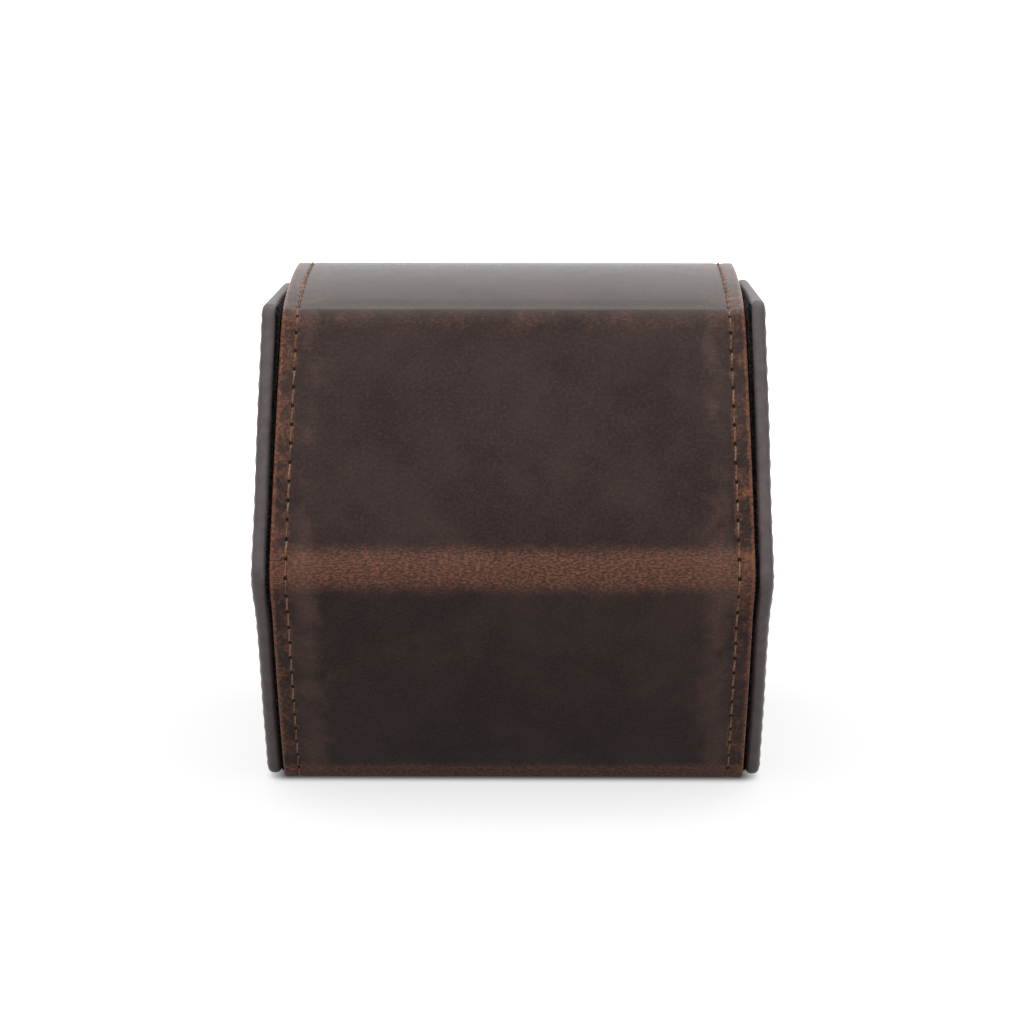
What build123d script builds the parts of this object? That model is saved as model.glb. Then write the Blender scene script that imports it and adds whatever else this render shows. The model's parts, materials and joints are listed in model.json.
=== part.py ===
"""Hexagonal leather watch case, millimetres.

The case lies on its flat base. X runs along the prism, from end panel to end panel. The hinge side of the
wrap is at -Y and the closing flap at +Y. The origin is the middle of the base, on the ground.
"""
from build123d import *
import math
import os

# Outline of the closed case, across the prism: sharp corners before the folds are rounded
base_half_depth = 26.2      # centre to the corner between base and lower face
ridge_half_depth = 48.9     # centre to the ridge, half way up
ridge_height = 41.6
top_half_depth = 24.4       # centre to the corner between upper face and top
top_height = 83.4
face_crown = 1.1            # outward bow of the four sloping faces
top_crown = 0.6             # outward bow of the top face
ridge_fold_radius = 9.0     # bend of the leather at the two ridges
top_fold_radius = 4.8       # sharper bend at the two top corners
base_fold_radius = 6.0      # bend of the leather at the two base corners

# Layers of the wrap
leather_thickness = 1.6
board_thickness = 1.8
lining_thickness = 0.9
board_fold_margin = 6.0     # board edge to the fold's sharp corner
board_side_margin = 5.6     # board edge to the side edge of the wrap
tray_half_width = 40.6
lid_half_width = 40.0
slit_half_gap = 0.1         # each side of the cut through the wrap at a moving fold

# Closing flap and the front wall behind it
flap_length = 31.0          # along the lower front face, from the front ridge
flap_corner_radius = 13.0
flap_board_thickness = 1.2
flap_lining_thickness = 0.8
flap_board_edge = 5.6       # board edge to the flap's free edges
flap_wall_gap = 0.6         # flap lining to the front wall
wall_top_drop = 2.2         # front wall's top edge below the ridge
magnet_diameter = 12.0
magnet_spacing = 44.0
magnet_drop = 20.0          # magnet centres below the front ridge, along the face
magnet_play = 0.15

# Stitching
seam_inset = 2.7            # seam to the side edge of the wrap
stitch_pitch = 3.38
stitch_length = 2.6
thread_width = 0.6
thread_height = 0.35
thread_bed = 0.12           # low continuous thread between the stitches
fold_stitch_margin = 5.0    # first stitch to the fold's sharp corner

# End panels
panel_thickness = 2.4
panel_lining_thickness = 0.6
panel_board_thickness = 1.0
panel_board_inset = 6.0
panel_edge_radius = 1.0     # rounded and painted edge
panel_corner_radius = 2.8
panel_ground_gap = 0.45     # panel's lower edge above the ground
panel_reveal = 0.8          # panel's edge beyond the wrap at ridge and top
panel_front_drop = 4.6      # the top edge falls towards the front
panel_seam_inset = 2.9

# Gusset strip in the tray's inner corners
gusset_thickness = 0.8
gusset_flange = 4.6
gusset_rise = 5.0

# Watch cushion
cushion_half_length = 37.0
cushion_half_depth = 26.0
cushion_half_height = 22.0
cushion_corner_radius = 16.0
cushion_crown = 1.5         # outward bow of the four sides of its section
cushion_end_shrink = 8.0    # how much the section shrinks at the very ends
cushion_shoulder = 5.0      # length of the drawn-in end
cushion_cover_thickness = 1.0
cushion_cap_length = 3.0
cushion_seat_gap = 0.3

wall_thickness = leather_thickness + board_thickness + lining_thickness
flap_thickness = leather_thickness + flap_board_thickness + flap_lining_thickness
lower_face_length = math.hypot(ridge_half_depth - base_half_depth, ridge_height)
lower_face_slope = (ridge_half_depth - base_half_depth) / lower_face_length
lower_face_rise = ridge_height / lower_face_length
front_shift = (flap_thickness + flap_wall_gap) / lower_face_rise
wall_top_height = ridge_height - wall_top_drop
board_depth = leather_thickness + board_thickness
flap_board_depth = leather_thickness + flap_board_thickness
panel_outer_x = tray_half_width + panel_lining_thickness + panel_thickness
reach = 3 * ridge_half_depth

# Corners of the outline as (depth, height)
base_back = (-base_half_depth, 0)
ridge_back = (-ridge_half_depth, ridge_height)
top_back = (-top_half_depth, top_height)
top_front = (top_half_depth, top_height)
ridge_front = (ridge_half_depth, ridge_height)
base_front = (base_half_depth, 0)
middle = (0, ridge_height)

# The three lid panels and the three tray faces, each between two corners
lid_panels = {
    "upper_back": (ridge_back, top_back),
    "top": (top_back, top_front),
    "upper_front": (top_front, ridge_front),
}
shifted_ridge_front = (ridge_half_depth - front_shift, ridge_height)
shifted_base_front = (base_half_depth - front_shift, 0)
tray_faces = {
    "lower_back": (base_back, ridge_back),
    "base": (shifted_base_front, base_back),
    "lower_front": (shifted_ridge_front, shifted_base_front),
}

# Radius of the folds between two heights, from the base up
folds = [
    (-ridge_height, ridge_height / 2, base_fold_radius),
    (ridge_height / 2, (ridge_height + top_height) / 2, ridge_fold_radius),
    ((ridge_height + top_height) / 2, reach, top_fold_radius),
]


def bow(first, second, crown):
    """Centre and radius of the arc that a face bows out to, between two corners taken clockwise."""
    chord = Vector(*second) - Vector(*first)
    radius = (chord.length ** 2 / 4 + crown ** 2) / (2 * crown)
    outward = Vector(-chord.Y, chord.X).normalized()
    return (Vector(*first) + Vector(*second)) / 2 - outward * (radius - crown), radius


def outline(front, depth):
    """Outline across the case at a depth under its surface, with the front wall moved back by front."""
    front_ridge = (ridge_half_depth - front, ridge_height)
    front_base = (base_half_depth - front, 0)
    faces = [
        (base_back, ridge_back, face_crown),
        (ridge_back, top_back, face_crown),
        (top_back, top_front, top_crown),
        (top_front, front_ridge, face_crown),
        (front_ridge, front_base, face_crown),
    ]
    with BuildSketch() as section:
        with Locations((0, depth)):
            Rectangle(2 * reach, 2 * reach, align=(Align.CENTER, Align.MIN))
        for face in faces:
            centre, radius = bow(*face)
            with Locations(centre):
                Circle(radius - depth, mode=Mode.INTERSECT)
        for lowest, highest, radius in folds:
            if radius > depth:
                fillet(section.vertices().filter_by_position(Axis.Y, lowest, highest), radius - depth)
    return section.sketch


def layer(front, outer_depth, inner_depth, region):
    """Section of a wall between two depths, within a region. A negative depth lies outside the surface."""
    with BuildSketch() as ring:
        add(outline(front, outer_depth))
        add(region, mode=Mode.INTERSECT)
        add(outline(front, inner_depth), mode=Mode.SUBTRACT)
    return ring.sketch


def wedge(first, second):
    """Triangle from the middle of the case past two corners, drawn in by the slit's half gap."""
    rays = [(Vector(*corner) - Vector(*middle)).normalized() for corner in (first, second)]
    half_angle = math.radians(rays[0].get_angle(rays[1]) / 2)
    apex = Vector(*middle) + (rays[0] + rays[1]).normalized() * (slit_half_gap / math.sin(half_angle))
    with BuildSketch() as sector:
        with BuildLine():
            Polyline(apex, apex + rays[1] * reach, apex + rays[0] * reach, close=True)
        make_face()
    return sector.sketch


def strip(first, second, margin):
    """Tall rectangle square to a face, ending at a margin from both of its corners."""
    centre = ((first[0] + second[0]) / 2, (first[1] + second[1]) / 2)
    slope = math.degrees(math.atan2(second[1] - first[1], second[0] - first[0]))
    with BuildSketch() as across:
        with Locations(Location((centre[0], centre[1], 0), (0, 0, slope))):
            Rectangle(math.dist(first, second) - 2 * margin, ridge_half_depth)
    return across.sketch


def seam(front, first, second, crown):
    """Side view of a seam on a face: a low bed of thread with the stitches standing on it."""
    centre, radius = bow(first, second, crown)
    outward = ((Vector(*first) + Vector(*second)) / 2 - centre).normalized()
    count = int((math.dist(first, second) - 2 * fold_stitch_margin) / stitch_pitch) + 1
    sweep = math.degrees(stitch_pitch / radius) * (count - 1)
    start = math.degrees(math.atan2(outward.Y, outward.X)) - sweep / 2
    with BuildSketch() as thread:
        with Locations(centre):
            with PolarLocations(radius + thread_height / 2, count, start, sweep, endpoint=True):
                Rectangle(thread_height, stitch_length)
        add(layer(front, -thread_bed, 0, strip(first, second, fold_stitch_margin - stitch_pitch / 2)))
        add(outline(front, 0), mode=Mode.SUBTRACT)
    return thread.sketch


def stiffener(front, first, second, depth, region):
    """Section of the board in a face, from under the leather to a depth, short of the folds."""
    with BuildSketch() as section:
        add(layer(front, leather_thickness, depth, strip(first, second, board_fold_margin)))
        add(region, mode=Mode.INTERSECT)
    return section.sketch


def lay_lining(front, region, faces, half_width):
    """Lining on the leather at folds and side margins, which rises over each board."""
    board_half_width = half_width - board_side_margin
    with BuildPart() as cloth:
        with BuildSketch(Plane.YZ):
            add(layer(front, leather_thickness, leather_thickness + lining_thickness, region))
        extrude(amount=half_width, both=True)
        for first, second in faces:
            with BuildSketch(Plane.YZ):
                add(layer(front, leather_thickness, wall_thickness,
                          strip(first, second, board_fold_margin - lining_thickness)))
                add(region, mode=Mode.INTERSECT)
            extrude(amount=board_half_width + lining_thickness, both=True)
            with BuildSketch(Plane.YZ):
                add(stiffener(front, first, second, board_depth, region))
            extrude(amount=board_half_width, both=True, mode=Mode.SUBTRACT)
    return cloth.part


def write(piece, name):
    """Names a finished piece and writes its STEP file."""
    piece.part.label = name
    export_step(piece.part, f"parts/{name}.step")


os.makedirs("parts", exist_ok=True)

# Region of the tray: under the back ridge, and under the front wall's top edge
with BuildSketch() as tray_region:
    with Locations((-reach / 2, ridge_height - slit_half_gap)):
        Rectangle(reach, reach, align=(Align.CENTER, Align.MAX))
    with Locations((reach / 2, wall_top_height)):
        Rectangle(reach, reach, align=(Align.CENTER, Align.MAX))

# The same without the turned-in edge along the top of the front wall, for what lies inside the leather
with BuildSketch() as inner_region:
    add(tray_region.sketch)
    with Locations((reach / 2, wall_top_height)):
        Rectangle(reach, leather_thickness, align=(Align.CENTER, Align.MAX), mode=Mode.SUBTRACT)

# The turned-in edge itself
with BuildSketch() as turned_region:
    with Locations((reach / 2, wall_top_height)):
        Rectangle(reach, leather_thickness, align=(Align.CENTER, Align.MAX))

# Front half under the ridge, for the closing flap
with BuildSketch() as flap_region:
    with Locations((reach / 2, ridge_height - slit_half_gap)):
        Rectangle(reach, reach, align=(Align.CENTER, Align.MAX))

# Tray leather: lower back, base and lower front in one piece, turned in over the front wall
with BuildPart() as tray_leather:
    with BuildSketch(Plane.YZ):
        add(layer(front_shift, 0, leather_thickness, tray_region.sketch))
        add(layer(front_shift, 0, wall_thickness, turned_region.sketch))
    extrude(amount=tray_half_width, both=True)
write(tray_leather, "tray_leather")

# Plane on the lower front face: origin at the front ridge, X along the prism, Y down the face
front_face = Plane(
    origin=(0, ridge_half_depth, ridge_height),
    x_dir=(1, 0, 0),
    z_dir=(0, lower_face_rise, -lower_face_slope),
)


def magnet_discs(play):
    """The two magnets seen square on to the lower front face, wider by a play."""
    with BuildSketch() as discs:
        with Locations((0, magnet_drop)):
            with GridLocations(magnet_spacing, 0, 2, 1):
                Circle(magnet_diameter / 2 + play)
    return discs.sketch


# Tray boards, one in each face
for face, corners in tray_faces.items():
    with BuildPart() as tray_board:
        with BuildSketch(Plane.YZ):
            add(stiffener(front_shift, *corners, board_depth, inner_region.sketch))
        extrude(amount=tray_half_width - board_side_margin, both=True)
        if face == "lower_front":
            with BuildSketch(front_face):
                add(magnet_discs(magnet_play))
            extrude(amount=ridge_half_depth, both=True, mode=Mode.SUBTRACT)
    write(tray_board, f"{face}_board")

# Magnets in the front wall's board
with BuildPart() as wall_magnets:
    with BuildSketch(Plane.YZ):
        add(stiffener(front_shift, *tray_faces["lower_front"], board_depth, inner_region.sketch))
    extrude(amount=tray_half_width - board_side_margin, both=True)
    with BuildSketch(front_face):
        add(magnet_discs(0))
    extrude(amount=ridge_half_depth, both=True, mode=Mode.INTERSECT)
write(wall_magnets, "wall_magnets")

# Tray lining
with BuildPart() as tray_lining:
    add(lay_lining(front_shift, inner_region.sketch, tray_faces.values(), tray_half_width))
write(tray_lining, "tray_lining")

# Gusset strips: an L along each inner corner between wrap and end panel
gusset_floor = leather_thickness + lining_thickness
for side, sign in {"left": -1, "right": 1}.items():
    side_plane = Plane.YZ.offset(sign * tray_half_width)
    with BuildPart() as gusset:
        with BuildSketch(side_plane):
            add(layer(front_shift, gusset_floor, gusset_floor + gusset_thickness, inner_region.sketch))
        extrude(amount=-sign * gusset_flange)
        with BuildSketch(side_plane):
            add(layer(front_shift, gusset_floor, gusset_floor + gusset_rise, inner_region.sketch))
        extrude(amount=-sign * gusset_thickness)
    write(gusset, f"{side}_gusset")

# Stitches of the tray, on its lower back and lower front faces
with BuildPart() as tray_stitches:
    for face in ("lower_back", "lower_front"):
        for sign in (-1, 1):
            with BuildSketch(Plane.YZ.offset(sign * (tray_half_width - seam_inset))):
                add(seam(front_shift, *tray_faces[face], face_crown))
            extrude(amount=thread_width / 2, both=True)
write(tray_stitches, "tray_stitches")

# Lid panels: leather, board, lining and stitches of each
for panel, corners in lid_panels.items():
    with BuildPart() as panel_leather:
        with BuildSketch(Plane.YZ):
            add(layer(0, 0, leather_thickness, wedge(*corners)))
        extrude(amount=lid_half_width, both=True)
    write(panel_leather, f"{panel}_leather")

    with BuildPart() as panel_board:
        with BuildSketch(Plane.YZ):
            add(stiffener(0, *corners, board_depth, wedge(*corners)))
        extrude(amount=lid_half_width - board_side_margin, both=True)
    write(panel_board, f"{panel}_board")

    with BuildPart() as panel_lining:
        add(lay_lining(0, wedge(*corners), [corners], lid_half_width))
    write(panel_lining, f"{panel}_lining")

    with BuildPart() as panel_stitches:
        for sign in (-1, 1):
            with BuildSketch(Plane.YZ.offset(sign * (lid_half_width - seam_inset))):
                add(seam(0, *corners, top_crown if panel == "top" else face_crown))
            extrude(amount=thread_width / 2, both=True)
    write(panel_stitches, f"{panel}_stitches")


def flap_shape(inset):
    """Flap seen square on: past the ridge at its upper end, with round corners at its free end."""
    with BuildSketch() as shape:
        with Locations((0, flap_length - inset)):
            RectangleRounded(2 * (lid_half_width - inset), 2 * ridge_half_depth, flap_corner_radius - inset,
                             align=(Align.CENTER, Align.MAX))
    return shape.sketch


def flap_sheet(section, inset):
    """Sheet of the flap from its section, with the flap's outline drawn in by an inset."""
    with BuildPart() as sheet:
        with BuildSketch(Plane.YZ):
            add(section)
        extrude(amount=lid_half_width, both=True)
        with BuildSketch(front_face):
            add(flap_shape(inset))
        extrude(amount=ridge_half_depth, both=True, mode=Mode.INTERSECT)
    return sheet.part


flap_board_section = stiffener(0, ridge_front, base_front, flap_board_depth, flap_region.sketch)

# Flap leather
with BuildPart() as flap_leather:
    add(flap_sheet(layer(0, 0, leather_thickness, flap_region.sketch), 0))
write(flap_leather, "flap_leather")

# Flap stiffener, with holes for its magnets
with BuildPart() as flap_board:
    add(flap_sheet(flap_board_section, flap_board_edge))
    with BuildSketch(front_face):
        add(magnet_discs(magnet_play))
    extrude(amount=ridge_half_depth, both=True, mode=Mode.SUBTRACT)
write(flap_board, "flap_board")

# Flap magnets
with BuildPart() as flap_magnets:
    add(flap_sheet(flap_board_section, flap_board_edge))
    with BuildSketch(front_face):
        add(magnet_discs(0))
    extrude(amount=ridge_half_depth, both=True, mode=Mode.INTERSECT)
write(flap_magnets, "flap_magnets")

# Flap lining: on the leather along the edges, and over the stiffener
with BuildPart() as flap_lining:
    add(flap_sheet(
        layer(0, leather_thickness, leather_thickness + flap_lining_thickness, flap_region.sketch), 0))
    add(flap_sheet(
        layer(0, leather_thickness, flap_thickness,
              strip(ridge_front, base_front, board_fold_margin - flap_lining_thickness)),
        flap_board_edge - flap_lining_thickness))
    add(flap_sheet(flap_board_section, flap_board_edge), mode=Mode.SUBTRACT)
write(flap_lining, "flap_lining")

# Stitches along the flap's two sides and its free edge
with BuildPart() as flap_stitches:
    add(flap_sheet(layer(0, -thread_bed, 0, flap_region.sketch), seam_inset - thread_width / 2))
    with BuildSketch(front_face):
        add(flap_shape(seam_inset + thread_width / 2))
    extrude(amount=ridge_half_depth, both=True, mode=Mode.SUBTRACT)
write(flap_stitches, "flap_stitches")

# End panels: corners of the hexagon, clockwise from the base at the back
panel_corners = [
    (-base_half_depth, panel_ground_gap),
    (-ridge_half_depth, ridge_height),
    (-top_half_depth - panel_reveal / 2, top_height + panel_reveal),
    (top_half_depth + panel_reveal / 2, top_height + panel_reveal - panel_front_drop),
    (ridge_half_depth, ridge_height),
    (base_half_depth, panel_ground_gap),
]


def panel_face(inset):
    """Hexagon of an end panel, drawn in by an inset."""
    with BuildSketch() as hexagon:
        with BuildLine():
            Polyline(*panel_corners, close=True)
        make_face()
        fillet(hexagon.vertices(), panel_corner_radius)
        offset(amount=-inset)
    return hexagon.sketch


def panel_stitch_bars():
    """Stitches along the six sides of an end panel, seen from outside."""
    with BuildSketch() as bars:
        for first, second in zip(panel_corners, panel_corners[1:] + panel_corners[:1]):
            side = Vector(*second) - Vector(*first)
            inward = Vector(side.Y, -side.X).normalized()
            centre = (Vector(*first) + Vector(*second)) / 2 + inward * panel_seam_inset
            count = int((side.length - 2 * fold_stitch_margin) / stitch_pitch) + 1
            with Locations(Location(centre, (0, 0, math.degrees(math.atan2(side.Y, side.X))))):
                with GridLocations(stitch_pitch, 0, count, 1):
                    Rectangle(stitch_length, thread_width)
    return bars.sketch


for side, sign in {"left": -1, "right": 1}.items():
    outer_plane = Plane.YZ.offset(sign * panel_outer_x)
    inner_plane = Plane.YZ.offset(sign * (panel_outer_x - panel_thickness))

    with BuildPart() as end_leather:
        with BuildSketch(outer_plane):
            add(panel_face(0))
        extrude(amount=-sign * panel_thickness)
        fillet(end_leather.faces().filter_by(Axis.X).edges(), panel_edge_radius)
        with BuildSketch(inner_plane):
            add(panel_face(panel_board_inset))
        extrude(amount=sign * panel_board_thickness, mode=Mode.SUBTRACT)
    write(end_leather, f"{side}_end_leather")

    with BuildPart() as end_board:
        with BuildSketch(inner_plane):
            add(panel_face(panel_board_inset))
        extrude(amount=sign * panel_board_thickness)
    write(end_board, f"{side}_end_board")

    with BuildPart() as end_lining:
        with BuildSketch(inner_plane):
            add(panel_face(panel_edge_radius))
        extrude(amount=-sign * panel_lining_thickness)
    write(end_lining, f"{side}_end_lining")

    with BuildPart() as end_stitches:
        with BuildSketch(outer_plane):
            add(panel_face(panel_seam_inset - thread_width / 2))
            add(panel_face(panel_seam_inset + thread_width / 2), mode=Mode.SUBTRACT)
        extrude(amount=sign * thread_bed)
        with BuildSketch(outer_plane):
            add(panel_stitch_bars())
        extrude(amount=sign * thread_height)
    write(end_stitches, f"{side}_end_stitches")

# Watch cushion: bowed sections lofted along the prism, smaller at the ends
cushion_height = wall_thickness + cushion_seat_gap + cushion_half_height + cushion_crown


def cushion_section(x, shrink):
    """Four bowed sides with round corners, on a plane across the prism."""
    half_depth = cushion_half_depth - shrink
    half_height = cushion_half_height - shrink
    corners = [(-half_depth, -half_height), (half_depth, -half_height),
               (half_depth, half_height), (-half_depth, half_height)]
    place = Plane(origin=(x, -front_shift / 2, cushion_height), x_dir=(0, 1, 0), z_dir=(1, 0, 0))
    with BuildSketch(place) as section:
        with BuildLine():
            for first, second in zip(corners, corners[1:] + corners[:1]):
                SagittaArc(first, second, -cushion_crown)
        make_face()
        fillet(section.vertices(), cushion_corner_radius - shrink)
    return section.sketch


def cushion_form(shell):
    """Cushion body, drawn in on all sides by a shell thickness."""
    end = cushion_half_length - shell
    stations = [(end, cushion_end_shrink), (end - cushion_shoulder, cushion_end_shrink / 4),
                (end - 3 * cushion_shoulder, 0)]
    stations = [(-x, shrink) for x, shrink in stations] + stations[::-1]
    with BuildPart() as form:
        loft(sections=[cushion_section(x, shrink + shell) for x, shrink in stations])
    return form.part


cushion_outer = cushion_form(0)
with BuildPart() as cushion_core:
    add(cushion_form(cushion_cover_thickness))
write(cushion_core, "cushion_core")

sleeve_length = 2 * (cushion_half_length - cushion_cap_length)
with BuildPart() as cushion_sleeve:
    add(cushion_outer)
    Box(sleeve_length, reach, 2 * reach, mode=Mode.INTERSECT)
    add(cushion_core.part, mode=Mode.SUBTRACT)
write(cushion_sleeve, "cushion_sleeve")

for side, kept in {"left": Keep.BOTTOM, "right": Keep.TOP}.items():
    with BuildPart() as cushion_cap:
        add(cushion_outer)
        Box(sleeve_length, reach, 2 * reach, mode=Mode.SUBTRACT)
        split(bisect_by=Plane.YZ, keep=kept)
        add(cushion_core.part, mode=Mode.SUBTRACT)
    write(cushion_cap, f"cushion_{side}_cap")
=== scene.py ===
"""Looks of the hexagonal leather watch case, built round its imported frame. Lengths are in metres.

X runs along the prism, the hinge side is at -Y and the closing flap at +Y. The wrap is one strip of leather:
its skins share one unrolled length, so grain, wear and stitches run on across every fold.
"""

import json
import math

import bpy
import numpy as np
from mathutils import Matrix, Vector, noise


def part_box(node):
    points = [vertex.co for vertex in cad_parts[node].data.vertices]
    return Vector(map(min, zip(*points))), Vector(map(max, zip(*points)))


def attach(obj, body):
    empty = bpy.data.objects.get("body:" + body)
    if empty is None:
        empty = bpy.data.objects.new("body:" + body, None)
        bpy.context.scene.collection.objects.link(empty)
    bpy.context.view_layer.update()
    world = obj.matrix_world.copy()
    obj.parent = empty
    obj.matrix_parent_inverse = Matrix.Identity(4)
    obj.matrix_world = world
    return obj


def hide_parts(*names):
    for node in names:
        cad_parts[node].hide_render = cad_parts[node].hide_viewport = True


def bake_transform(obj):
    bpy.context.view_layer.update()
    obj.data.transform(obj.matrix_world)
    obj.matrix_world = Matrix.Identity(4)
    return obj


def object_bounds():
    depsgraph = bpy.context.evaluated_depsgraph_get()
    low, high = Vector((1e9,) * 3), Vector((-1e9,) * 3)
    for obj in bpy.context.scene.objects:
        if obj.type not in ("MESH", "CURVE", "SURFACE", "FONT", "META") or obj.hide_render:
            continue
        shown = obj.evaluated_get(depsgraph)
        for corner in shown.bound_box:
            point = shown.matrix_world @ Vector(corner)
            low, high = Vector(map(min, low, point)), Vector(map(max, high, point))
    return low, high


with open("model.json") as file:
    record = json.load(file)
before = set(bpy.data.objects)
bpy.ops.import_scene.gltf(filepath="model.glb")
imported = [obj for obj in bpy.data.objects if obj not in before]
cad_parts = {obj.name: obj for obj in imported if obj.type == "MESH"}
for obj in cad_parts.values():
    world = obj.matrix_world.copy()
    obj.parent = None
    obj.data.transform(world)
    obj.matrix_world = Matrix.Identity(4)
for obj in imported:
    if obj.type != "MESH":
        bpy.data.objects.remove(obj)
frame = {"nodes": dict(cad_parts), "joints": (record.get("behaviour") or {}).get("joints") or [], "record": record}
cad_low, cad_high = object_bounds()

MM = 0.001


def box_mm(node):
    """Lowest and highest corner of a node, in millimetres."""
    low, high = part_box(node)
    return np.array(low) / MM, np.array(high) / MM


# Driving sizes of the wrap in millimetres, as in the solids
LEATHER = 1.6
BOARD = 1.8
LINING = 0.9
FLAP_BOARD = 1.2
FLAP_LINING = 0.8
FACE_CROWN = 1.1
TOP_CROWN = 1.4
FLAT_CROWN = 0.002
RIDGE_DEPTH = 48.9
TOP_HEIGHT = 83.4
TOP_TILT = 0.6
RIDGE_FOLD_RADIUS = 9.0
TOP_FOLD_RADIUS = 4.8
BASE_FOLD_RADIUS = 3.5
BASE_OUT = 0.9
BOARD_FOLD_MARGIN = 6.0
BOARD_SIDE_MARGIN = 5.6
FLAP_LENGTH = 31.0
FLAP_CORNER = 13.0
PANEL_THICKNESS = 2.4
PANEL_CORNER = 2.8
PANEL_GROUND_GAP = 0.45
PANEL_REVEAL = 0.8
PANEL_FRONT_DROP = 4.6
SEAM_INSET = 2.7
PANEL_SEAM_INSET = 2.9
STITCH_PITCH = 3.38

# Sizes read from the frame
tray_half = box_mm("tray_leather")[1][0]
lid_half = box_mm("top_leather")[1][0]
panel_outer = box_mm("right_end_leather")[1][0]
base_depth = BOARD_FOLD_MARGIN - box_mm("base_board")[0][1]
top_depth = BOARD_FOLD_MARGIN - box_mm("top_board")[0][1]
joint_of = {joint["name"]: joint for joint in frame["joints"]}
ridge_height = joint_of["back_fold"]["pos_m"][2] / MM
wall_top = box_mm("lower_front_board")[1][2] + LEATHER
front_shift = base_depth - BOARD_FOLD_MARGIN - box_mm("base_board")[1][1]

rng = np.random.default_rng(11)


def smooth(value, low, high):
    """Smooth step from 0 at low to 1 at high."""
    t = np.clip((value - low) / (high - low), 0, 1)
    return t * t * (3 - 2 * t)


def bell(value, width):
    """Bell curve that is 1 at 0."""
    return np.exp(-(value / width) ** 2)


def unit(vectors):
    """Vectors drawn to length 1."""
    return vectors / np.linalg.norm(vectors, axis=-1, keepdims=True)


class Chain:
    """Arcs in the plane across the case: each face bows out, and each inner corner is a fold.

    s is the length along the outer surface, measured clockwise, with 0 at the crest of a chosen fold."""

    def __init__(self, corners, crowns, radii, zero_fold):
        corners = [np.array(c, float) for c in corners]
        circles = []
        for first, second, crown in zip(corners, corners[1:], crowns):
            chord = second - first
            length = np.linalg.norm(chord)
            radius = (length ** 2 / 4 + crown ** 2) / (2 * crown)
            outward = np.array([-chord[1], chord[0]]) / length
            circles.append(((first + second) / 2 - outward * (radius - crown), radius))
        fillets = [self.fillet(a, b, r, c) for a, b, r, c in zip(circles, circles[1:], radii, corners[1:])]
        self.arcs = []
        start = self.angle(circles[0][0], corners[0])
        for number, (centre, radius) in enumerate(circles):
            if number < len(fillets):
                fold, fold_radius = fillets[number]
                end = self.turned(start, self.angle(centre, fold))
                self.arcs.append((centre, radius, start, end))
                after = self.turned(end, self.angle(circles[number + 1][0], fold))
                self.arcs.append((fold, fold_radius, end, after))
                start = after
            else:
                end = self.turned(start, self.angle(centre, corners[-1]))
                self.arcs.append((centre, radius, start, end))
        spans = [radius * (a - b) for _, radius, a, b in self.arcs]
        ends = np.concatenate([[0], np.cumsum(spans)])
        middles = (ends[:-1] + ends[1:]) / 2
        self.folds = middles[1::2] - middles[2 * zero_fold + 1]
        self.ends = ends - middles[2 * zero_fold + 1]

    @staticmethod
    def angle(centre, point):
        return math.atan2(point[1] - centre[1], point[0] - centre[0])

    @staticmethod
    def turned(start, angle):
        """The same direction as an angle, reached clockwise from start."""
        return start - (start - angle) % (2 * math.pi)

    @staticmethod
    def fillet(first, second, radius, corner):
        """Centre of a circle of a radius that lies inside two circles and touches both, near a corner."""
        (a, ra), (b, rb) = first, second
        ra, rb = ra - radius, rb - radius
        gap = b - a
        distance = np.linalg.norm(gap)
        along = (distance ** 2 + ra ** 2 - rb ** 2) / (2 * distance)
        side = math.sqrt(max(ra ** 2 - along ** 2, 0))
        unit = gap / distance
        across = np.array([-unit[1], unit[0]])
        found = [a + unit * along + across * side * sign for sign in (-1, 1)]
        return min(found, key=lambda p: np.linalg.norm(p - corner)), radius

    def at(self, s, depth=0.0):
        """Points (y, z) at a length along the surface and a depth under it, and the outward normals."""
        s = np.asarray(s, float)
        number = np.clip(np.searchsorted(self.ends, s, side="right") - 1, 0, len(self.arcs) - 1)
        centres = np.array([arc[0] for arc in self.arcs])[number]
        radii = np.array([arc[1] for arc in self.arcs])[number]
        starts = np.array([arc[2] for arc in self.arcs])[number]
        angles = starts - (s - self.ends[number]) / radii
        normals = np.stack([np.cos(angles), np.sin(angles)], -1)
        return centres + normals * (radii - depth)[..., None], normals


base_back = (-base_depth - BASE_OUT, 0)
ridge_back = (-RIDGE_DEPTH, ridge_height)
top_back = (-top_depth, TOP_HEIGHT - TOP_TILT)
top_front = (top_depth, TOP_HEIGHT + TOP_TILT / 4)
ridge_front = (RIDGE_DEPTH, ridge_height)
base_front = (base_depth, 0)

# The tray's wall starts at its front ridge, the lid's strip at the base; s is 0 at the back ridge on both
tray_chain = Chain(
    [(RIDGE_DEPTH - front_shift, ridge_height), (base_depth - front_shift, 0), base_back, ridge_back,
     top_back, top_front],
    [FACE_CROWN, FLAT_CROWN, FACE_CROWN, FACE_CROWN, TOP_CROWN],
    [BASE_FOLD_RADIUS, BASE_FOLD_RADIUS, RIDGE_FOLD_RADIUS, TOP_FOLD_RADIUS],
    2,
)
lid_chain = Chain(
    [base_back, ridge_back, top_back, top_front, ridge_front, base_front],
    [FACE_CROWN, FACE_CROWN, TOP_CROWN, FACE_CROWN, FACE_CROWN],
    [RIDGE_FOLD_RADIUS, TOP_FOLD_RADIUS, TOP_FOLD_RADIUS, RIDGE_FOLD_RADIUS],
    0,
)
front_base_fold, back_base_fold = tray_chain.folds[0], tray_chain.folds[1]
back_ridge, top_back_fold, top_front_fold, front_ridge = lid_chain.folds
WALL_SAMPLES = 400
wall_line = np.linspace(tray_chain.ends[0], front_base_fold, WALL_SAMPLES)
wall_start = np.interp(-wall_top, -tray_chain.at(wall_line)[0][:, 1], wall_line)
flap_end = front_ridge + FLAP_LENGTH

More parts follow.
